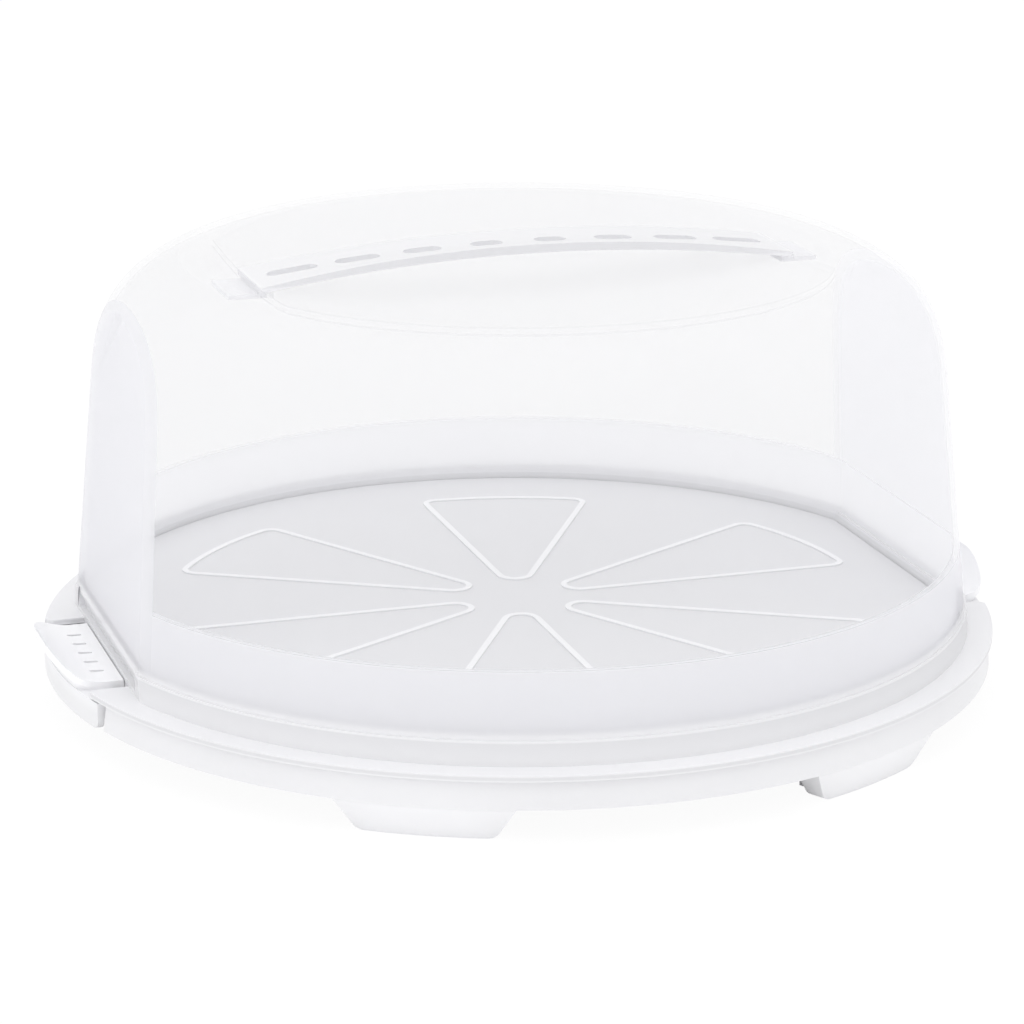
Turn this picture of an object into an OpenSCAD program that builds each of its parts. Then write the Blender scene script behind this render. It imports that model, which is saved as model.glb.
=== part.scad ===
// Round cake carrier: a base plate with four feet and a marked cake floor, a clear dome
// that stands on the base's rim, a pierced strap handle across the dome's dished top, and
// two clips hinged in the base's rim that shut against flats on the dome's sides.
// X runs from clip to clip along the handle. Z is up from the table under the feet.

/* [Base] */
// Diameter of the base over its rim
rim_d = 345; // [320:1:370]
// Thickness of the rim that the dome stands on
rim_t = 2; // [1.6:0.1:3]
// Rim top down to the lower edge of the skirt
skirt_h = 12; // [10.5:0.5:16]
// How far the rim stands out over the top of the skirt
rim_lip = 2; // [1:0.1:3]
// How far the skirt splays outward to its lower edge
skirt_splay = 1.1; // [0:0.1:2]
// Wall thickness of the base
base_wall = 2.2; // [1.8:0.1:3]
// Rise of the cake floor above the rim
floor_rise = 5.3; // [4:0.1:9]
// Gap between the cake floor's edge and the dome
floor_gap = 0.8; // [0.5:0.1:2]

/* [Feet] */
// Height of the feet below the skirt
foot_h = 11.5; // [8:0.5:18]
// Angle from the clip axis to the middle of each foot
foot_angle = 62; // [50:1:70]
// Width of a foot where it leaves the skirt
foot_top_w = 61; // [40:1:75]
// Width of a foot on the table
foot_low_w = 46; // [25:1:60]
// How far a foot leans inward over its height
foot_lean = 4.5; // [0:0.1:6]
// Corner radius at the bottom of a foot
foot_corner_r = 5; // [1:0.5:7]
// Depth of the ribs behind a foot
foot_rib_l = 17; // [10:1:25]

/* [Floor marks] */
// Share of the dome's radius that the petal marks reach
petal_share = 0.8; // [0.6:0.01:0.86]
// Radius at which the petals' round tips start
petal_tip_r = 20; // [10:1:40]
// Width of a mark
mark_w = 2.2; // [1:0.1:4]
// Height of a mark
mark_h = 0.6; // [0.3:0.1:1.5]
// Corner radius at the outer end of a petal
petal_corner_r = 6; // [3:0.5:10]
// Number of petals
petals = 6; // [4:1:8]

/* [Dome] */
// Width of the rim outside the dome's wall
rim_ledge = 9.7; // [8:0.1:14]
// Wall thickness of the dome
dome_wall = 2; // [1.6:0.1:3]
// Extra thickness inside the dome's lower band
band_extra = 0.6; // [0.2:0.1:1.2]
// Height of the dome's lower band
band_h = 31; // [20:1:50]
// Inward lean of the round wall, in degrees
wall_draft = 5.8; // [3:0.1:8]
// Height at which the shoulder starts
shoulder_z = 81.6; // [60:0.2:95]
// Height that the shoulder would rise to at the centre
shoulder_h = 59.5; // [45:0.5:70]
// Depth that the shoulder would turn in to the centre
shoulder_in = 104; // [90:1:120]
// Squareness of the shoulder curve
shoulder_power = 3.7; // [2.5:0.1:5]
// How far the crest round the dished top lies inside the dome's foot
crest_in = 42.8; // [38:0.2:54]
// Depth of the dished top below its crest
dish_depth = 12.4; // [8:0.1:16]
// Steepness of the dish, 2 is a parabola
dish_power = 2.4; // [2:0.1:4]
// Depth of the sunk panel in the dished top
panel_d = 0.7; // [0.4:0.1:1.2]
// Length of the sunk panel's straight ends
panel_end_l = 111; // [90:1:120]
// How far the foot rim stands out from the wall
rim_out = 0.8; // [0.4:0.1:1.5]
// Height of the foot rim
rim_band_h = 8.4; // [5:0.2:12]

/* [Dome flats] */
// How far each side flat is cut into the round wall at its foot
flat_cut = 9.6; // [8.4:0.1:11]
// Inward lean of the flats, in degrees
flats_draft = 4.3; // [2:0.1:7]
// Depth of the catch groove along a flat's foot
groove_d = 2.4; // [1.5:0.1:3]
// Length of the catch groove
groove_l = 100; // [90:1:104]
// Height of the ledge under the groove
ledge_h = 1.4; // [1:0.1:2]
// Height of the groove
groove_h = 5.4; // [3:0.1:6]

/* [Handle] */
// Share of the crest's diameter that the handle spans
handle_share = 0.82; // [0.75:0.01:0.85]
// Width of the handle at its ends
handle_end_w = 34; // [26:1:44]
// Width of the handle in the middle
handle_mid_w = 27; // [20:1:34]
// Thickness of the strap in the middle
handle_t = 3; // [2.4:0.1:4]
// Thickness of the strap at its ends
handle_end_t = 1.8; // [1.4:0.1:2.4]
// Depth of the trough along the top of the strap
trough_d = 1.3; // [0.4:0.1:1.6]
// Radius of the trough across the strap
trough_r = 62; // [50:1:90]
// Rise of the strap's middle above its ends
handle_rise = 8.3; // [6:0.1:14]
// Height of the strap's middle above the crest of the dome
handle_over = 3.9; // [2:0.1:8]
// Number of slots
slots = 8; // [4:2:8]
// Width of a slot
slot_w = 7; // [4:0.5:9]
// Length of the slots beside the middle
slot_mid_l = 11.8; // [9:0.2:14]
// Length of the slots at the ends
slot_end_l = 18.4; // [15:0.2:20]
// Width of the lug under each end
lug_w = 26; // [16:1:28]
// Thickness of a lug
lug_t = 1.4; // [1.2:0.1:2]
// Reach of a lug under the dome's top
lug_l = 10.5; // [6:0.5:12]
// Length of the dome's slot for an end of the handle
strap_slot_l = 4.5; // [4:0.1:6]

/* [Clips] */
// Length of a clip's top
clip_l = 66; // [58:1:70]
// Length of a clip's skirt
clip_skirt_l = 95; // [88:1:100]
// Wall thickness of a clip
clip_wall = 2.2; // [1.8:0.1:2.8]
// Radius of the clip's hollow top
sweep_r = 20.8; // [18:0.2:26]
// Flat length of the top before the hollow starts
clip_flat = 6.4; // [5:0.1:8]
// Reach of the thumb lip past the rim
lip_out = 4.9; // [3:0.1:7]
// Radius of the lip's bowed edge
lip_bow_r = 76; // [60:1:120]
// Corner radius of the clip's top
clip_corner_r = 7; // [3:0.5:10]
// Distance between the grip slots
grip_pitch = 10.3; // [8:0.1:12]
// Number of grip slots
grips = 5; // [3:2:5]
// Length of a grip slot
grip_l = 5.2; // [3:0.1:6]
// Width of a grip slot
grip_w = 1.8; // [1:0.1:2.5]
// Gap between a clip's inner edge and the dome
nose_gap = 0.4; // [0.3:0.05:0.8]
// Gap between a clip and the base round it
clip_gap = 0.6; // [0.4:0.1:1.2]
// Gap between a clip's top and the rim at its ends
notch_gap = 7; // [4:0.5:9]

/* [Hinges] */
// Radius of a hinge pin
pin_r = 2.2; // [1.8:0.1:2.6]
// Radial clearance of a pin in its bore
pin_gap = 0.08; // [0.02:0.01:0.1]
// Distance of the hinge axis outside the pocket wall
hinge_in = 4.4; // [4.2:0.1:5]
// Depth of the hinge axis below the rim's top
hinge_drop = 6; // [5.8:0.1:6.6]
// Gap between a clip's end and the ear that carries it
ear_gap = 2; // [1:0.1:3]

/* [Hidden] */
white = "#f4f5f6";
clear = "#e9edf1";
seam = 0.2;                                   // clearance of pieces that snap together
over = 1;                                     // cutting tools run past a face by this much
rim_z = foot_h + skirt_h;                     // height of the rim's top above the table
rim_r = rim_d / 2;
skirt_top_r = rim_r - rim_lip;
skirt_low_r = skirt_top_r + skirt_splay;
foot_low_r = skirt_low_r - foot_lean;
foot_rib_pitch = foot_low_w * 0.36;
dome_d = rim_d - 2 * rim_ledge;
crest_r = dome_d / 2 - crest_in;
flats_d = dome_d - 2 * flat_cut;
petal_r = petal_share * dome_d / 2;
handle_l = 2 * crest_r * handle_share;
slot_pitch = handle_l / (slots + 0.3);
band_wall = dome_wall + band_extra;
flat_x = flats_d / 2;
catch_x = flat_x - groove_d - dome_wall;      // inner face of the wall behind the groove
floor_r = dome_r(floor_rise) - band_wall - floor_gap;
floor_x = catch_x - floor_gap;
pocket_x = flat_x;                            // outer face of the wall behind a clip
notch_l = clip_l + 2 * notch_gap;
pocket_l = clip_skirt_l + 2 * ear_gap;
hinge_x = pocket_x + hinge_in;
hinge_z = -hinge_drop;
clip_x = flat_x + nose_gap;
clip_skirt_r = rim_r;
clip_r = clip_skirt_r - clip_gap / 2;         // the top's edge lies a little inside the clip's skirt
skirt_corner_r = 3;
sweep_x = clip_x + clip_flat;
shelf_z = -rim_t - clip_gap;
step_x = handle_l / 2 + seam;                 // straight ends of the sunk panel
crest_z = shoulder_at(crest_r);
handle_top = crest_z + handle_over;
lug_z = rim_z + dish_z(step_x / (1 + dome_wall / crest_r)) - dome_wall - seam - lug_t;
top_arch_r = arch_r(handle_rise);
low_arch_r = arch_r(handle_rise - handle_t + handle_end_t);
trough_arch_r = arch_r(handle_rise - trough_d);
fine = 180;
arch_fine = 720;
mid = 64;
small = 32;
curve_steps = 28;

// Points of an arc, centre (x, y), from angle a to angle b
function arc(x, y, r, a, b, n) = [for (i = [0:n]) let (t = a + (b - a) * i / n)
    [x + r * cos(t), y + r * sin(t)]];
// Radius of the round wall at height z, before the shoulder turns in
function wall_r(z, w = 0) = dome_d / 2 - w - z * tan(wall_draft);
// How far the shoulder has turned in, for s from 0 at its foot to 1 at its top
function turn_in(s) = shoulder_in * (1 - pow(1 - pow(s, shoulder_power), 1 / shoulder_power));
// Outer radius of the dome at height z
function dome_r(z) = wall_r(z) - (z > shoulder_z ? turn_in((z - shoulder_z) / shoulder_h) : 0);
// Outline of the dome's wall and shoulder, drawn in by the wall w
function shoulder_points(w) = [for (i = [0:curve_steps]) let (s = sin(90 * i / curve_steps))
    [max(0, wall_r(shoulder_z + (shoulder_h - w) * s, w) - turn_in(s)), shoulder_z + (shoulder_h - w) * s]];
// Height of the outer shoulder at radius r, by halving the height range
function shoulder_at(r, lo = 0, hi = 1, n = 24) = n == 0 ? shoulder_z + shoulder_h * lo :
    let (s = (lo + hi) / 2, inside = wall_r(shoulder_z + shoulder_h * s) - turn_in(s) > r)
    shoulder_at(r, inside ? s : lo, inside ? hi : s, n - 1);
// Height of the dish's surface at radius r
function dish_z(r) = crest_z - dish_depth * (1 - pow(r / crest_r, dish_power));

// Radius of an arch over the handle's length with a rise
function arch_r(rise) = (pow(handle_l / 2, 2) + pow(rise, 2)) / (2 * rise);

// Outline of a foot seen from outside, rounded at its lower corners
module foot_outline() {
    lean = atan2((foot_top_w - foot_low_w) / 2, foot_h);
    side_x = foot_low_w / 2 - foot_corner_r * (1 - sin(lean)) / cos(lean);
    polygon(concat(
        arc(side_x, foot_corner_r, foot_corner_r, -90, -lean, 6),
        [[foot_top_w / 2, foot_h], [foot_top_w / 2, foot_h + over]],
        [[-foot_top_w / 2, foot_h + over], [-foot_top_w / 2, foot_h]],
        arc(-side_x, foot_corner_r, foot_corner_r, 180 + lean, 270, 6)));
}

// Places of the four feet round the base
module each_foot() {
    for (a = [foot_angle, 180 - foot_angle, -foot_angle, foot_angle - 180])
        rotate([0, 0, a])
            children();
}

// Everything below the skirt that isn't a foot
module between_feet() {
    difference() {
        translate([0, 0, -over])
            cylinder(r = rim_d, h = foot_h + over, $fn = fine);
        each_foot()
            rotate([90, 0, 90])
                linear_extrude(height = 2 * rim_d)
                    foot_outline();
    }
}

// Ribs that brace the feet and the skirt behind them
module foot_ribs() {
    each_foot()
        for (side = [-1, 0, 1])
            translate([foot_low_r - foot_rib_l, side * foot_rib_pitch - base_wall / 2, 0])
                cube([foot_rib_l - base_wall / 2, base_wall, rim_z - rim_t / 2]);
}

// End walls of the feet, up to the middle of the outer wall
module foot_ends() {
    top = foot_h + base_wall;
    low_y = foot_low_w / 2 - 1.5 * base_wall;
    top_y = low_y + (foot_top_w - foot_low_w) / 2 * (top + over) / foot_h;
    out_y = foot_top_w / 2 - base_wall / 8;
    mid_r = skirt_low_r - base_wall / 2;
    intersection() {
        each_foot()
            translate([foot_low_r - foot_rib_l / 2, 0, 0])
                rotate([90, 0, 90])
                    linear_extrude(height = foot_rib_l)
                        difference() {
                            translate([-out_y, -over])
                                square([2 * out_y, top + over]);
                            polygon([[-low_y, -2 * over], [low_y, -2 * over], [low_y, 0],
                                [top_y, top + over], [-top_y, top + over], [-low_y, 0]]);
                        }
        rotate_extrude($fn = fine)
            polygon([[0, 0], [foot_low_r - base_wall / 2, 0], [mid_r, foot_h], [mid_r, top], [0, top]]);
    }
}

// Outline of one petal mark, drawn in by d
module petal_outline(d) {
    half = 90 / petals;
    tip_c = petal_tip_r / (1 - sin(half));
    tip_r = tip_c * sin(half) - d;
    corner_r = petal_corner_r - d;
    corner_c = petal_r - petal_corner_r;
    corner_a = half - asin(petal_corner_r / corner_c);
    polygon(concat(
        arc(tip_c, 0, tip_r, 90 + half, 270 - half, 8),
        arc(corner_c * cos(corner_a), -corner_c * sin(corner_a), corner_r, -90 - half, -corner_a, 5),
        arc(0, 0, petal_r - d, -corner_a, corner_a, 10),
        arc(corner_c * cos(corner_a), corner_c * sin(corner_a), corner_r, corner_a, 90 + half, 5)));
}

// Raised marks on the cake floor that share a cake into equal pieces
module floor_marks() {
    for (i = [0:petals - 1])
        rotate([0, 0, (i + 0.25) * 360 / petals])
            translate([0, 0, rim_z + floor_rise - mark_h])
                linear_extrude(height = 2 * mark_h)
                    difference() {
                        petal_outline(0);
                        petal_outline(mark_w);
                    }
}

// The cake floor as a block, drawn in by w
module floor_block(w, top) {
    intersection() {
        translate([0, 0, foot_h + over])
            cylinder(r = floor_r - w, h = rim_z + top - foot_h - over, $fn = fine);
        translate([-floor_x + w, -rim_r, foot_h])
            cube([2 * (floor_x - w), rim_d, rim_z + floor_rise]);
    }
}

// Outside and inside of the base as turned blocks
module base_block() {
    rotate_extrude($fn = fine)
        polygon([[0, 0], [foot_low_r, 0], [skirt_low_r, foot_h], [skirt_top_r, rim_z - rim_t],
            [rim_r, rim_z - rim_t], [rim_r, rim_z], [0, rim_z]]);
    floor_block(0, floor_rise);
}

module base_hollow() {
    rotate_extrude($fn = fine)
        polygon([[0, -over], [foot_low_r - base_wall, -over], [foot_low_r - base_wall, 0],
            [skirt_low_r - base_wall, foot_h], [skirt_top_r - base_wall, rim_z - rim_t], [0, rim_z - rim_t]]);
    floor_block(base_wall, floor_rise - base_wall);
}

// Opening in the rim for the clip's top, with rounded outer corners
module rim_notch() {
    y = notch_l / 2;
    r = clip_corner_r / 2;
    edge_x = sqrt(pow(rim_r, 2) - pow(y + r, 2));
    translate([0, 0, rim_z - rim_t - over])
        linear_extrude(height = rim_t + 2 * over)
            polygon(concat(
                [[pocket_x, -y]],
                arc(edge_x - r, -y - r, r, 90, 20, 6),
                [[rim_r + over, -y - r], [rim_r + over, y + r]],
                arc(edge_x - r, y + r, r, -20, -90, 6),
                [[pocket_x, y]]));
}

// Room for a clip behind the skirt
module clip_pocket() {
    translate([pocket_x, -pocket_l / 2, foot_h - over])
        cube([rim_r, pocket_l, skirt_h - rim_t + over]);
    rim_notch();
}

// Walls round a clip's pocket, with the bores that carry its pins
module pocket_walls() {
    ear_y = pocket_l / 2;
    difference() {
        intersection() {
            union() {
                translate([pocket_x - base_wall, -ear_y - base_wall, foot_h])
                    cube([base_wall, 2 * (ear_y + base_wall), skirt_h - rim_t / 2]);
                for (side = [-1, 1])
                    translate([pocket_x - base_wall, side * (ear_y + base_wall / 2) - base_wall / 2, foot_h])
                        cube([rim_r, base_wall, skirt_h - rim_t / 2]);
            }
            base_block();
        }
        translate([hinge_x, 0, rim_z + hinge_z])
            rotate([90, 0, 0])
                cylinder(r = pin_r + pin_gap, h = pocket_l + 4 * base_wall, center = true, $fn = mid);
    }
}

// Stiffening ribs under the cake floor
module floor_ribs() {
    rib_low = rim_z - skirt_h / 2;
    rib_top = rim_z + floor_rise - base_wall / 2;
    ring_r = petal_r * 0.62;
    translate([0, 0, rib_low])
        difference() {
            cylinder(r = ring_r, h = rib_top - rib_low, $fn = fine);
            translate([0, 0, -over])
                cylinder(r = ring_r - base_wall, h = rib_top - rib_low + over - base_wall / 2, $fn = fine);
        }
    intersection() {
        for (i = [0:petals - 1])
            rotate([0, 0, (i + 0.5) * 360 / petals])
                translate([ring_r - base_wall / 2, -base_wall / 2, rib_low])
                    cube([rim_r, base_wall, rib_top - rib_low]);
        floor_block(base_wall / 2, floor_rise - base_wall / 2);
    }
}

module base() {
    color(white) {
        difference() {
            union() {
                difference() {
                    base_block();
                    base_hollow();
                }
                floor_ribs();
                foot_ribs();
                foot_ends();
            }
            between_feet();
            for (turn = [0, 180])
                rotate([0, 0, turn])
                    clip_pocket();
        }
        for (turn = [0, 180])
            rotate([0, 0, turn])
                pocket_walls();
        floor_marks();
    }
}

// The dished top with its sunk panel, grown by the wall w
module dish(w) {
    dish_turned(w, 0);
    intersection() {
        dish_turned(w, panel_d);
        panel_prism();
    }
}

module dish_turned(w, drop) {
    n = curve_steps;
    translate([0, 0, rim_z - w - drop])
        rotate_extrude($fn = fine)
            polygon(concat(
                [for (i = [0:n]) let (r = crest_r * i / n) [r * (1 + w / crest_r), dish_z(r)]],
                [[crest_r + w, crest_z + rim_d], [0, crest_z + rim_d]]));
}

// Outline of the sunk panel: straight at both ends, round at the front and the back
module panel_prism() {
    half = panel_end_l / 2;
    reach = crest_r - over;
    c = (pow(reach, 2) - pow(step_x, 2) - pow(half, 2)) / (2 * (reach - half));
    translate([0, 0, rim_z])
        intersection() {
            translate([-step_x, -rim_r, 0])
                cube([2 * step_x, rim_d, 2 * rim_d]);
            for (side = [-1, 1])
                translate([0, side * c, 0])
                    cylinder(r = reach - c, h = 2 * rim_d, $fn = fine);
        }
}

// The dome as a solid form, drawn in by the wall w
module dome_form(w) {
    top_z = rim_d;
    low_z = w > 0 ? -over : 0;
    flat_in = top_z * tan(flats_draft);
    difference() {
        intersection() {
            translate([0, 0, rim_z])
                rotate_extrude($fn = fine)
                    polygon(concat([[0, low_z], [wall_r(low_z, w), low_z]], shoulder_points(w),
                        [[0, shoulder_z + shoulder_h - w]]));
            translate([0, rim_r, rim_z])
                rotate([90, 0, 0])
                    linear_extrude(height = rim_d)
                        polygon([[-flat_x + w, low_z], [flat_x - w, low_z],
                            [flat_x - w - flat_in, top_z], [-flat_x + w + flat_in, top_z]]);
        }
        dish(w);
    }
}

// Foot rim that stands out from the round wall
module dome_rim() {
    intersection() {
        translate([0, 0, rim_z])
            rotate_extrude($fn = fine)
                polygon([[wall_r(0) - dome_wall / 2, 0], [wall_r(0) + rim_out, 0],
                    [wall_r(rim_band_h) + rim_out, rim_band_h], [wall_r(rim_band_h) - dome_wall / 2, rim_band_h]]);
        translate([-flat_x, -rim_r, rim_z])
            cube([flats_d, rim_d, rim_band_h]);
    }
}

// Thicker wall behind the catch groove on a flat
module catch_wall() {
    intersection() {
        dome_form(0);
        translate([catch_x, -rim_r, rim_z])
            cube([rim_r, rim_d, ledge_h + groove_h + dome_wall]);
    }
}

// Groove that a clip's edge shuts into
module catch_groove() {
    translate([flat_x - groove_d, -groove_l / 2, rim_z + ledge_h])
        cube([rim_r, groove_l, groove_h]);
}

// Slots in the top that take the handle's ends
module lug_slots() {
    for (turn = [0, 180])
        rotate([0, 0, turn])
            translate([handle_l / 2 - strap_slot_l, -handle_end_w / 2 - seam, lug_z - over])
                cube([strap_slot_l + seam, handle_end_w + 2 * seam, rim_d]);
}

module dome() {
    color(clear, 0.4)
        difference() {
            union() {
                difference() {
                    dome_form(0);
                    dome_form(band_wall);
                    intersection() {
                        dome_form(dome_wall);
                        translate([-rim_r, -rim_r, rim_z + band_h])
                            cube([rim_d, rim_d, rim_d]);
                    }
                }
                dome_rim();
                for (turn = [0, 180])
                    rotate([0, 0, turn])
                        catch_wall();
            }
            for (turn = [0, 180])
                rotate([0, 0, turn])
                    catch_groove();
            lug_slots();
        }
}

// Plan of the strap, narrower in the middle
module strap_plan() {
    x = handle_l / 2;
    dy = (handle_end_w - handle_mid_w) / 2;
    side_r = (x * x + dy * dy) / (2 * dy);
    half = asin(x / side_r);
    polygon(concat(
        arc(0, handle_mid_w / 2 + side_r, side_r, 270 - half, 270 + half, 24),
        arc(0, -handle_mid_w / 2 - side_r, side_r, 90 - half, 90 + half, 24)));
}

// One slot of the strap, l long, at distance x from the middle
module strap_slot(x, l) {
    translate([x, 0, rim_z]) {
        translate([-(l - slot_w) / 2, -slot_w / 2, 0])
            cube([l - slot_w, slot_w, rim_d]);
        for (side = [-1, 1])
            translate([side * (l - slot_w) / 2, 0, 0])
                cylinder(d = slot_w, h = rim_d, $fn = small);
    }
}

// The arched strap: a curved top with a shallow trough, and a flatter curve below
module strap_arch() {
    top_z = rim_z + handle_top;
    long = handle_end_w + 2 * over;
    difference() {
        translate([0, 0, top_z - top_arch_r])
            rotate([90, 0, 0])
                cylinder(r = top_arch_r, h = long, center = true, $fn = arch_fine);
        translate([0, 0, top_z - handle_t - low_arch_r])
            rotate([90, 0, 0])
                cylinder(r = low_arch_r, h = long + over, center = true, $fn = arch_fine);
        translate([0, 0, top_z - trough_d - trough_arch_r])
            rotate([90, 0, 0])
                rotate_extrude($fn = arch_fine)
                    translate([trough_arch_r + trough_r, 0])
                        circle(r = trough_r, $fn = fine);
    }
}

// Lug that hooks under the dome's top at one end
module lug() {
    strap_end_z = rim_z + handle_top - handle_rise - handle_end_t;
    translate([handle_l / 2 - handle_t, -lug_w / 2, lug_z]) {
        cube([handle_t + lug_l, lug_w, lug_t]);
        cube([handle_t, lug_w, strap_end_z + handle_end_t / 2 - lug_z]);
    }
}

module handle() {
    color(white) {
        difference() {
            intersection() {
                strap_arch();
                translate([0, 0, rim_z])
                    linear_extrude(height = rim_d)
                        strap_plan();
            }
            for (i = [0:slots / 2 - 1], side = [-1, 1])
                let (share = i / (slots / 2 - 1))
                    strap_slot(side * (i + 0.5) * slot_pitch, slot_mid_l + share * (slot_end_l - slot_mid_l));
        }
        for (turn = [0, 180])
            rotate([0, 0, turn])
                lug();
    }
}

// Plan of a clip's top, drawn in by d: inner edge at x, outer edge bowed by bow_r out to tip_x
module clip_plan(d, x, tip_x, bow_r) {
    bow_x = tip_x - bow_r;
    r = clip_corner_r - d;
    y = clip_l / 2 - d;
    corner_y = clip_l / 2 - clip_corner_r;
    corner_x = bow_x + sqrt(pow(bow_r - clip_corner_r, 2) - pow(corner_y, 2));
    a = atan2(corner_y, corner_x - bow_x);
    polygon(concat([[x, -y]], arc(corner_x, -corner_y, r, -90, -a, 6),
        arc(bow_x, 0, bow_r - d, -a, a, 24), arc(corner_x, corner_y, r, a, 90, 6), [[x, y]]));
}

// Everything above a face that lies w below the clip's top
module over_clip(w) {
    translate([sweep_x, 0, rim_z + sweep_r])
        rotate([90, 0, 0])
            cylinder(r = sweep_r + w, h = rim_d, center = true, $fn = fine);
    translate([0, -rim_r, rim_z - w])
        cube([sweep_x, rim_d, rim_d]);
    translate([0, -rim_r, rim_z + sweep_r])
        cube([rim_d, rim_d, rim_d]);
}

// The skin of the clip's top with its thumb lip
module clip_skin() {
    difference() {
        intersection() {
            translate([0, 0, rim_z - 2 * clip_wall])
                linear_extrude(height = sweep_r)
                    clip_plan(0, clip_x, rim_r + lip_out, lip_bow_r);
            over_clip(clip_wall);
        }
        over_clip(0);
    }
}

// Wall under the edge of the clip's top
module clip_wall_ring() {
    low = rim_z + shelf_z - clip_wall;
    difference() {
        translate([0, 0, low])
            linear_extrude(height = sweep_r)
                difference() {
                    clip_plan(0, clip_x, clip_r, clip_r);
                    clip_plan(clip_wall, clip_x - over, clip_r, clip_r);
                }
        over_clip(clip_wall / 2);
    }
}

// Outer wall of the clip in line with the base's skirt
module clip_skirt() {
    y = clip_skirt_l / 2;
    top = rim_z + shelf_z;
    intersection() {
        difference() {
            cylinder(r = clip_skirt_r, h = top, $fn = fine);
            translate([0, 0, -over])
                cylinder(r = clip_skirt_r - clip_wall, h = rim_d, $fn = fine);
        }
        rotate([90, 0, 90])
            linear_extrude(height = rim_r)
                polygon(concat(
                    arc(-y + skirt_corner_r, foot_h + skirt_corner_r, skirt_corner_r, 180, 270, 5),
                    arc(y - skirt_corner_r, foot_h + skirt_corner_r, skirt_corner_r, 270, 360, 5),
                    [[y, top + over], [-y, top + over]]));
    }
}

// Shelf at each end that runs under the rim, with the cheek and pin of the hinge
module clip_end() {
    inner_y = clip_l / 2 - clip_wall / 2;
    cheek_y = clip_skirt_l / 2 - clip_wall;
    intersection() {
        union() {
            translate([hinge_x, inner_y, rim_z + shelf_z - clip_wall])
                cube([rim_r, clip_skirt_l / 2 - inner_y, clip_wall]);
            translate([hinge_x, cheek_y, rim_z + hinge_z - pin_r])
                cube([rim_r, clip_wall, -hinge_z + shelf_z + pin_r]);
        }
        cylinder(r = clip_skirt_r - clip_wall / 2, h = rim_d, $fn = fine);
    }
    translate([hinge_x, cheek_y, rim_z + hinge_z])
        rotate([-90, 0, 0]) {
            cylinder(r = -hinge_z + shelf_z, h = clip_wall, $fn = mid);
            cylinder(r = pin_r, h = clip_wall + ear_gap + base_wall, $fn = mid);
        }
}

// Ribs that brace the clip's skirt from its top
module clip_ribs() {
    for (side = [-1, 1])
        difference() {
            intersection() {
                translate([hinge_x, side * grip_pitch * 1.5 - clip_wall / 2, foot_h + clip_wall])
                    cube([rim_r, clip_wall, rim_z + sweep_r]);
                cylinder(r = clip_skirt_r - clip_wall / 2, h = rim_d, $fn = fine);
            }
            over_clip(clip_wall / 2);
        }
}

// Slots that give the finger a grip
module grip_slots() {
    for (i = [0:grips - 1])
        translate([sweep_x + grip_l / 8, (i - (grips - 1) / 2) * grip_pitch, rim_z - 2 * clip_wall]) {
            translate([-(grip_l - grip_w) / 2, -grip_w / 2, 0])
                cube([grip_l - grip_w, grip_w, 4 * clip_wall]);
            for (side = [-1, 1])
                translate([side * (grip_l - grip_w) / 2, 0, 0])
                    cylinder(d = grip_w, h = 4 * clip_wall, $fn = small);
        }
}

module clip() {
    difference() {
        union() {
            clip_skin();
            clip_wall_ring();
            clip_skirt();
            clip_ribs();
            clip_end();
            mirror([0, 1, 0])
                clip_end();
        }
        grip_slots();
    }
}

module clip_right() {
    color(white)
        clip();
}

module clip_left() {
    color(white)
        rotate([0, 0, 180])
            clip();
}

base();
dome();
handle();
clip_right();
clip_left();
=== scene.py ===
import math

import bpy
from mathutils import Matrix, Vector

mm = 0.001
rimTop = 23.5 * mm  # the base's rim that the dome stands on, above the table

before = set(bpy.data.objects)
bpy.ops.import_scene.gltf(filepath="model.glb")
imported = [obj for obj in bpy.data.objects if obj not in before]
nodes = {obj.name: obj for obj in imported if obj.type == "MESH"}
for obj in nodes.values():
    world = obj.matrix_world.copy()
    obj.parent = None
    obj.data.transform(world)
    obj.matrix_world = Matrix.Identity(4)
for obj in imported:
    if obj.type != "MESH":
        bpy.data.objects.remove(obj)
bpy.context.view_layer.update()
print("frame loaded:", sorted(nodes))

for leftover in ("Cube", "Light", "Camera"):
    if leftover in bpy.data.objects:
        bpy.data.objects.remove(bpy.data.objects[leftover])


def newMaterial(name):
    material = bpy.data.materials.new(name)
    material.use_nodes = True
    tree = material.node_tree
    tree.nodes.clear()
    out = tree.nodes.new("ShaderNodeOutputMaterial")
    shader = tree.nodes.new("ShaderNodeBsdfPrincipled")
    tree.links.new(shader.outputs["BSDF"], out.inputs["Surface"])
    return material, tree, shader


def useAsSurface(tree, socket):
    out = next(n for n in tree.nodes if n.type == "OUTPUT_MATERIAL")
    tree.links.new(socket, out.inputs["Surface"])


def mixShaders(tree, amount, first, second):
    node = tree.nodes.new("ShaderNodeMixShader")
    tree.links.new(amount, node.inputs["Fac"])
    tree.links.new(first, node.inputs[1])
    tree.links.new(second, node.inputs[2])
    return node.outputs["Shader"]


def objectCoords(tree):
    return tree.nodes.new("ShaderNodeTexCoord").outputs["Object"]


def splitCoords(tree, coords):
    split = tree.nodes.new("ShaderNodeSeparateXYZ")
    tree.links.new(coords, split.inputs["Vector"])
    return split.outputs["X"], split.outputs["Y"], split.outputs["Z"]


def noise(tree, coords, scale, detail):
    node = tree.nodes.new("ShaderNodeTexNoise")
    node.inputs["Scale"].default_value = scale
    node.inputs["Detail"].default_value = detail
    node.inputs["Roughness"].default_value = 0.5
    tree.links.new(coords, node.inputs["Vector"])
    return node.outputs["Fac"]


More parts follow.
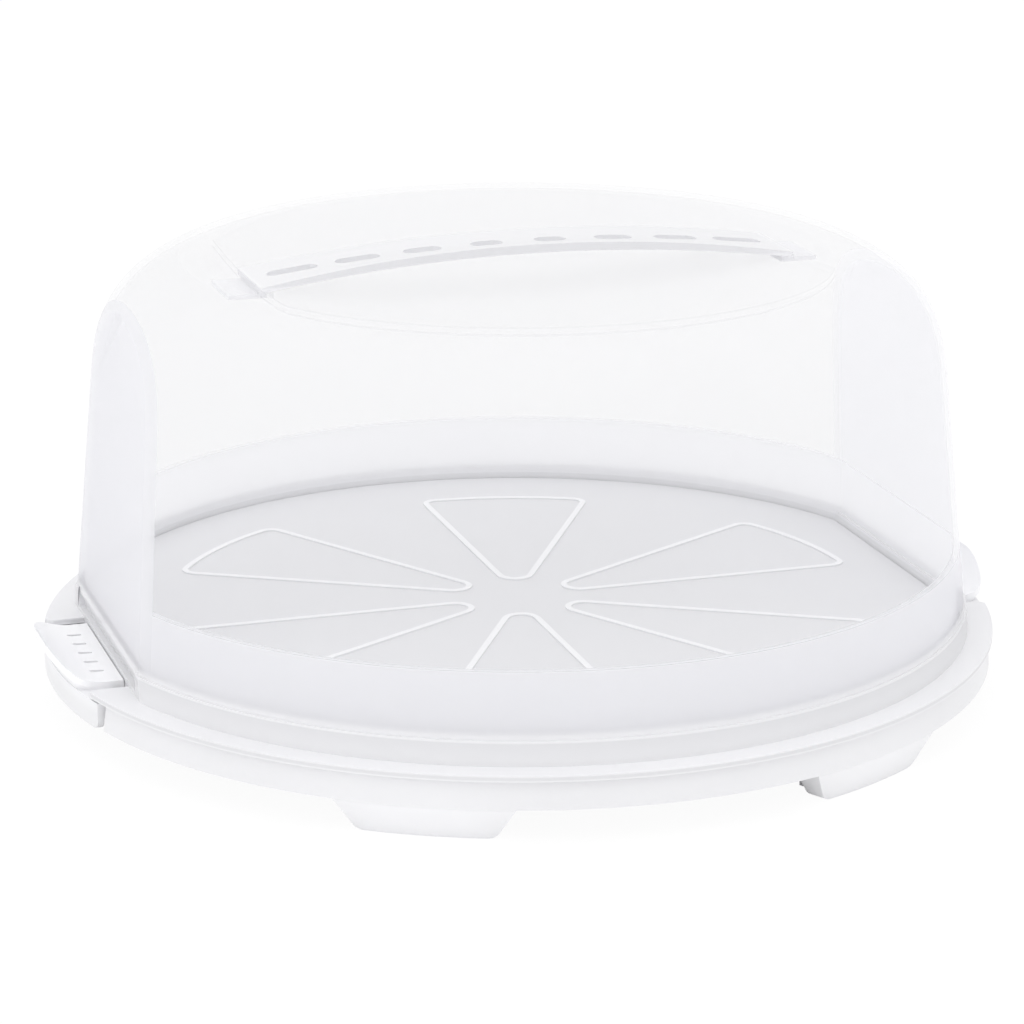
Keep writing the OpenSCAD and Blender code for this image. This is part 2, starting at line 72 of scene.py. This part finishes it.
def remap(tree, value, fromLow, fromHigh, toLow, toHigh, smooth=False):
    node = tree.nodes.new("ShaderNodeMapRange")
    node.interpolation_type = "SMOOTHSTEP" if smooth else "LINEAR"
    node.inputs["From Min"].default_value = fromLow
    node.inputs["From Max"].default_value = fromHigh
    node.inputs["To Min"].default_value = toLow
    node.inputs["To Max"].default_value = toHigh
    tree.links.new(value, node.inputs["Value"])
    return node.outputs["Result"]


def softStep(tree, value, start, end):
    # 0 on the start side and 1 on the end side, whichever of the two is higher
    low, high = min(start, end), max(start, end)
    toLow, toHigh = (0, 1) if start < end else (1, 0)
    return remap(tree, value, low, high, toLow, toHigh, smooth=True)


def feed(tree, socket, value):
    if isinstance(value, (int, float)):
        socket.default_value = value
    elif isinstance(value, tuple):
        socket.default_value = (*value, 1)
    else:
        tree.links.new(value, socket)


def maths(tree, operation, a, b=0):
    node = tree.nodes.new("ShaderNodeMath")
    node.operation = operation
    feed(tree, node.inputs[0], a)
    feed(tree, node.inputs[1], b)
    return node.outputs["Value"]


def mix(tree, kind, amount, first, second):
    node = tree.nodes.new("ShaderNodeMix")
    node.data_type = kind
    feed(tree, node.inputs["Factor"], amount)
    feed(tree, node.inputs["A"], first)
    feed(tree, node.inputs["B"], second)
    return node.outputs["Result"]


def mixColours(tree, amount, first, second):
    return mix(tree, "RGBA", amount, first, second)


def mixValues(tree, amount, first, second):
    return mix(tree, "FLOAT", amount, first, second)


def bump(tree, height, distance, strength):
    node = tree.nodes.new("ShaderNodeBump")
    node.inputs["Distance"].default_value = distance
    node.inputs["Strength"].default_value = strength
    tree.links.new(height, node.inputs["Height"])
    return node.outputs["Normal"]


def dress(node, material):
    piece = nodes[node]
    piece.data.materials.clear()
    piece.data.materials.append(material)


def softenShading(node, angle):
    # joins the CAD faces' edges for shading only: the mesh itself isn't changed
    piece = nodes[node]
    weld = piece.modifiers.new("joinFaces", "WELD")
    weld.merge_threshold = 0.002 * mm
    split = piece.modifiers.new("keepCreases", "EDGE_SPLIT")
    split.split_angle = math.radians(angle)


# each zone: height above the table from and to, and the colour reached there, None for the plain one
baseLook = {
    "pale": (0.830, 0.830, 0.848),
    "shade": (0.812, 0.812, 0.830),
    "zones": (
        (23.4 * mm, 22.9 * mm, (0.715, 0.715, 0.733)),  # painted shadow under the rim's edge
        (22.3 * mm, 21.7 * mm, None),
        (12.0 * mm, 10.5 * mm, (0.885, 0.885, 0.903)),  # feet painted lighter: painted light where they sit in shade near the table
        (24.0 * mm, 25.0 * mm, (0.735, 0.735, 0.753)),  # cake floor painted darker: painted shade under the dome
        (29.0 * mm, 29.3 * mm, (0.930, 0.930, 0.945)),  # petal marks painted lighter than the cake floor: painted light on their raised tops
    ),
    "roughLow": 0.30,
    "roughHigh": 0.40,
    "grain": 0.05 * mm,
    "gloss": 0.45,
}
handleLook = {
    "pale": (0.805, 0.805, 0.823),
    "shade": (0.792, 0.792, 0.810),
    "zones": (
        # painted shade: the handle darker towards its top
        (150.0 * mm, 161.0 * mm, (0.762, 0.762, 0.780)),
        (155.2 * mm, 154.2 * mm, (0.868, 0.868, 0.886)),  # the lugs, seen through the dome, painted lighter: painted light
    ),
    "roughLow": 0.28,
    "roughHigh": 0.38,
    "grain": 0.03 * mm,
    "gloss": 0.45,
}
clipLook = {
    "pale": (0.865, 0.865, 0.883),
    "shade": (0.850, 0.850, 0.868),
    "zones": (
        (20.0 * mm, 16.0 * mm, (0.820, 0.820, 0.838)),  # skirt painted darker: painted shade under the clip's lip
        (21.0 * mm, 23.0 * mm, (0.950, 0.950, 0.965)),  # top painted lighter: painted light
    ),
    "roughLow": 0.28,
    "roughHigh": 0.38,
    "grain": 0.03 * mm,
    "gloss": 0.45,
}
mouldedLook = {  # the same on all the white pieces
    "cloudScale": 14,  # slow change of tone over the moulding
    "cloudDetail": 4,
    "roughScale": 60,
    "roughDetail": 3,
    "grainScale": 900,
    "grainDetail": 2,
    "grainStrength": 0.25,
    "noiseLow": 0.3,  # the part of the noise's range that is used
    "noiseHigh": 0.7,
    "ior": 1.49,
}


def whitePlastic(name, look):
    material, tree, shader = newMaterial(name)
    coords = objectCoords(tree)
    shared = mouldedLook
    span = (shared["noiseLow"], shared["noiseHigh"])
    cloud = noise(tree, coords, shared["cloudScale"], shared["cloudDetail"])
    tone = remap(tree, cloud, *span, 0, 1, smooth=True)
    plain = mixColours(tree, tone, look["shade"], look["pale"])
    colour = plain
    height = splitCoords(tree, coords)[2]
    for start, end, zoneColour in look["zones"]:
        mask = softStep(tree, height, start, end)
        colour = mixColours(tree, mask, colour, zoneColour or plain)
    tree.links.new(colour, shader.inputs["Base Color"])
    patches = noise(tree, coords, shared["roughScale"], shared["roughDetail"])
    rough = remap(tree, patches, *span, look["roughLow"], look["roughHigh"])
    tree.links.new(rough, shader.inputs["Roughness"])
    fine = noise(tree, coords, shared["grainScale"], shared["grainDetail"])
    normal = bump(tree, fine, look["grain"], shared["grainStrength"])
    tree.links.new(normal, shader.inputs["Normal"])
    shader.inputs["IOR"].default_value = shared["ior"]
    shader.inputs["Specular IOR Level"].default_value = look["gloss"]
    return material


dress("base", whitePlastic("baseWhitePlastic", baseLook))
dress("handle", whitePlastic("handleWhitePlastic", handleLook))
clipPlastic = whitePlastic("clipWhitePlastic", clipLook)
dress("clip_right", clipPlastic)
dress("clip_left", clipPlastic)
print("white plastic on base, handle and clips")


domeLook = {  # heights here are above the base's rim
    "wallColour": (0.858, 0.858, 0.876),
    "bandColour": (0.975, 0.975, 0.990),
    # painted shade on the band's foot, just above the rim
    "bandFootShadeColour": (0.88, 0.88, 0.90),
    "flatColour": (0.968, 0.968, 0.985),
    # painted light: the rim lighter at its foot
    "rimColour": (0.960, 0.960, 0.978),
    # painted shade: the rim darker towards its top
    "rimTopShadeColour": (0.775, 0.775, 0.795),
    # painted highlight along the rim's top edge
    "rimEdgeHighlightColour": (0.90, 0.90, 0.918),
    "wallAlpha": 0.15,
    "crestAlpha": 0.07,
    "bandAlpha": 0.78,
    "flatAlpha": 0.75,
    "rimAlpha": 0.92,
    "wallGlow": 0.45,  # share of the scattered light that comes through from behind
    "bandGlow": 0.85,
    "flatGlow": 0.80,
    "rimGlow": 0.10,
    "bandHeight": 31 * mm,
    "rimHeight": 8.6 * mm,
    "rimEdge": 1.0 * mm,
    "rimFade": 3.2 * mm,  # height over which the rim's thicker look and the painted shade on the band's foot run out
    "flatX": 153.2 * mm,  # the side flats at the dome's foot, from the middle
    "flatLean": math.tan(math.radians(4.3)),
    "flatDepth": 2.6 * mm,
    "crestHeight": 134 * mm,
    "crestRadius": 120 * mm,
    "crestFade": 1.0 * mm,
    "soft": 0.25 * mm,  # half the width of the step from one zone to the next
    "cloudScale": 9,
    "cloudDetail": 3,
    "cloudAlpha": 0.012,
    "rough": 0.22,
    "ior": 1.5,
    "gloss": 0.22,
}


def rimTone(tree, height, look):
    # the foot rim's colour, painted lighter at its foot and darker towards its top, with a painted
    # highlight along its top edge, and painted shade on the band's foot just above it
    rimHeight, soft = look["rimHeight"], look["soft"]
    edgeLow = rimHeight - look["rimEdge"]
    upRim = remap(tree, height, 0, rimHeight, 0, 1)
    onEdgeHighlight = softStep(tree, height, edgeLow - soft, edgeLow + soft)
    aboveRim = remap(tree, height, rimHeight - soft, rimHeight, 0, 1)
    upFade = remap(tree, height, rimHeight, rimHeight + look["rimFade"], 0, 1)
    # painted light and shade: lighter at the rim's foot, darker towards its top
    tone = mixColours(tree, upRim, look["rimColour"], look["rimTopShadeColour"])
    # painted highlight along the rim's top edge
    tone = mixColours(tree, onEdgeHighlight, tone, look["rimEdgeHighlightColour"])
    # painted shade on the band's foot, fading out over rimFade
    bandFoot = mixColours(tree, upFade, look["bandFootShadeColour"], look["bandColour"])
    return mixColours(tree, aboveRim, tone, bandFoot)


def clearPlastic(name, look):
    material, tree, shader = newMaterial(name)
    coords = objectCoords(tree)
    x, y, z = splitCoords(tree, coords)
    height = maths(tree, "SUBTRACT", z, rimTop)
    soft = look["soft"]
    onBand = softStep(tree, height, look["bandHeight"] + soft, look["bandHeight"] - soft)
    onRim = softStep(tree, height, look["rimHeight"] + look["rimFade"], look["rimHeight"])
    lean = maths(tree, "MULTIPLY", height, look["flatLean"])
    aside = maths(tree, "ADD", maths(tree, "ABSOLUTE", x), lean)
    onFlat = maths(tree, "GREATER_THAN", aside, look["flatX"] - look["flatDepth"])
    squares = maths(tree, "ADD", maths(tree, "MULTIPLY", x, x), maths(tree, "MULTIPLY", y, y))
    radius = maths(tree, "SQRT", squares)
    highUp = softStep(tree, height, look["crestHeight"] - look["crestFade"], look["crestHeight"])
    inside = softStep(tree, radius, look["crestRadius"] + look["crestFade"], look["crestRadius"])
    onCrest = maths(tree, "MULTIPLY", highUp, inside)
    cloud = remap(tree, noise(tree, coords, look["cloudScale"], look["cloudDetail"]),
                  mouldedLook["noiseLow"], mouldedLook["noiseHigh"],
                  -look["cloudAlpha"], look["cloudAlpha"], smooth=True)
    plainAlpha = mixValues(tree, onCrest, look["wallAlpha"], look["crestAlpha"])
    alpha = maths(tree, "ADD", cloud, plainAlpha)
    tint, glow = look["wallColour"], look["wallGlow"]
    for mask, zone in ((onBand, "band"), (onFlat, "flat"), (onRim, "rim")):
        alpha = mixValues(tree, mask, alpha, look[zone + "Alpha"])
        glow = mixValues(tree, mask, glow, look[zone + "Glow"])
        tint = mixColours(tree, mask, tint, look[zone + "Colour"])
    # the rim's painted light, shade and highlight replace its plain colour here
    tint = mixColours(tree, onRim, tint, rimTone(tree, height, look))
    tree.links.new(tint, shader.inputs["Base Color"])
    shader.inputs["Roughness"].default_value = look["rough"]
    shader.inputs["IOR"].default_value = look["ior"]
    shader.inputs["Specular IOR Level"].default_value = look["gloss"]
    through = tree.nodes.new("ShaderNodeBsdfTranslucent")
    tree.links.new(tint, through.inputs["Color"])
    milky = mixShaders(tree, glow, shader.outputs["BSDF"], through.outputs["BSDF"])
    clear = tree.nodes.new("ShaderNodeBsdfTransparent")
    useAsSurface(tree, mixShaders(tree, alpha, clear.outputs["BSDF"], milky))
    return material


dress("dome", clearPlastic("domeClearPlastic", domeLook))
softenShading("dome", 33)
print("clear plastic on the dome")


floorLook = {
    "size": 6.0,
    "lit": 0.07,  # share of the floor's seen tone that keeps the object's shadow
    "colour": (0.97, 0.97, 0.97),
    "rough": 0.8,
    "white": 1.02,
}


def makeFloor(look):
    half = look["size"] / 2
    corners = [(-half, -half, 0), (half, -half, 0), (half, half, 0), (-half, half, 0)]
    mesh = bpy.data.meshes.new("studioFloor")
    mesh.from_pydata(corners, [], [(0, 1, 2, 3)])
    floor = bpy.data.objects.new("studioFloor", mesh)
    bpy.context.scene.collection.objects.link(floor)
    material, tree, shader = newMaterial("studioFloor")
    shader.inputs["Base Color"].default_value = (*look["colour"], 1)
    shader.inputs["Roughness"].default_value = look["rough"]
    shader.inputs["Specular IOR Level"].default_value = 0.0
    glow = tree.nodes.new("ShaderNodeEmission")
    glow.inputs["Color"].default_value = (1, 1, 1, 1)
    glow.inputs["Strength"].default_value = look["white"]
    path = tree.nodes.new("ShaderNodeLightPath")
    seen = maths(tree, "MAXIMUM", path.outputs["Is Camera Ray"], path.outputs["Is Glossy Ray"])
    share = maths(tree, "MULTIPLY", seen, 1 - look["lit"])
    useAsSurface(tree, mixShaders(tree, share, shader.outputs["BSDF"], glow.outputs["Emission"]))
    mesh.materials.append(material)


makeFloor(floorLook)

worldLook = {"light": 0.88, "seen": 1.0}


def whiteBackground(tree, strength):
    node = tree.nodes.new("ShaderNodeBackground")
    node.inputs["Color"].default_value = (1, 1, 1, 1)
    node.inputs["Strength"].default_value = strength
    return node.outputs["Background"]


def makeWorld(look):
    world = bpy.data.worlds.new("studioWorld")
    bpy.context.scene.world = world
    world.use_nodes = True
    tree = world.node_tree
    tree.nodes.clear()
    out = tree.nodes.new("ShaderNodeOutputWorld")
    lit = whiteBackground(tree, look["light"])
    seen = whiteBackground(tree, look["seen"])
    path = tree.nodes.new("ShaderNodeLightPath")
    surface = mixShaders(tree, path.outputs["Is Camera Ray"], lit, seen)
    tree.links.new(surface, out.inputs["Surface"])


makeWorld(worldLook)

softboxLooks = {  # place, aim, size in metres and power in watts
    "topSoftbox": ((-0.1, -0.2, 1.5), (0, 0, 0.1), (1.6, 1.6), 7),
    "leftSoftbox": ((-1.3, -0.9, 0.9), (0, 0, 0.08), (1.0, 1.2), 3),
    "rightSoftbox": ((1.4, -0.6, 0.7), (0, 0, 0.08), (0.9, 1.1), 1.5),
}


def makeSoftbox(name, place, aim, size, power):
    lamp = bpy.data.lights.new(name, "AREA")
    lamp.shape = "RECTANGLE"
    lamp.size, lamp.size_y = size
    lamp.energy = power
    lamp.color = (1, 1, 1)
    holder = bpy.data.objects.new(name, lamp)
    bpy.context.scene.collection.objects.link(holder)
    holder.location = place
    holder.rotation_mode = "QUATERNION"
    holder.rotation_quaternion = (Vector(aim) - Vector(place)).to_track_quat("-Z", "Y")
    holder.visible_camera = False


for boxName, boxLook in softboxLooks.items():
    makeSoftbox(boxName, *boxLook)

photoView = {
    "aimed": (0, 0, rimTop),  # the camera's distance is measured from here
    "distance": 1331.7 * mm,
    "azimuth": -17.585,
    "elevation": 18.015,
    "turnAzimuth": -17.483,  # where the middle of the picture looks
    "turnElevation": 16.459,
    "lens": 127.70,
    "sensor": 36,
    "nearest": 0.05,
    "farthest": 50,
}


def backVector(azimuth, elevation):
    a, e = math.radians(azimuth), math.radians(elevation)
    return Vector((math.sin(a) * math.cos(e), -math.cos(a) * math.cos(e), math.sin(e)))


def makeCamera(look):
    data = bpy.data.cameras.new("photoCamera")
    data.sensor_width = look["sensor"]
    data.lens = look["lens"]
    data.clip_start, data.clip_end = look["nearest"], look["farthest"]
    camera = bpy.data.objects.new("photoCamera", data)
    bpy.context.scene.collection.objects.link(camera)
    back = backVector(look["azimuth"], look["elevation"])
    camera.location = Vector(look["aimed"]) + back * look["distance"]
    camera.rotation_mode = "QUATERNION"
    turn = backVector(look["turnAzimuth"], look["turnElevation"])
    camera.rotation_quaternion = (-turn).to_track_quat("-Z", "Y")
    bpy.context.scene.camera = camera


makeCamera(photoView)
bpy.context.scene.view_settings.view_transform = "Standard"
print("studio ready")
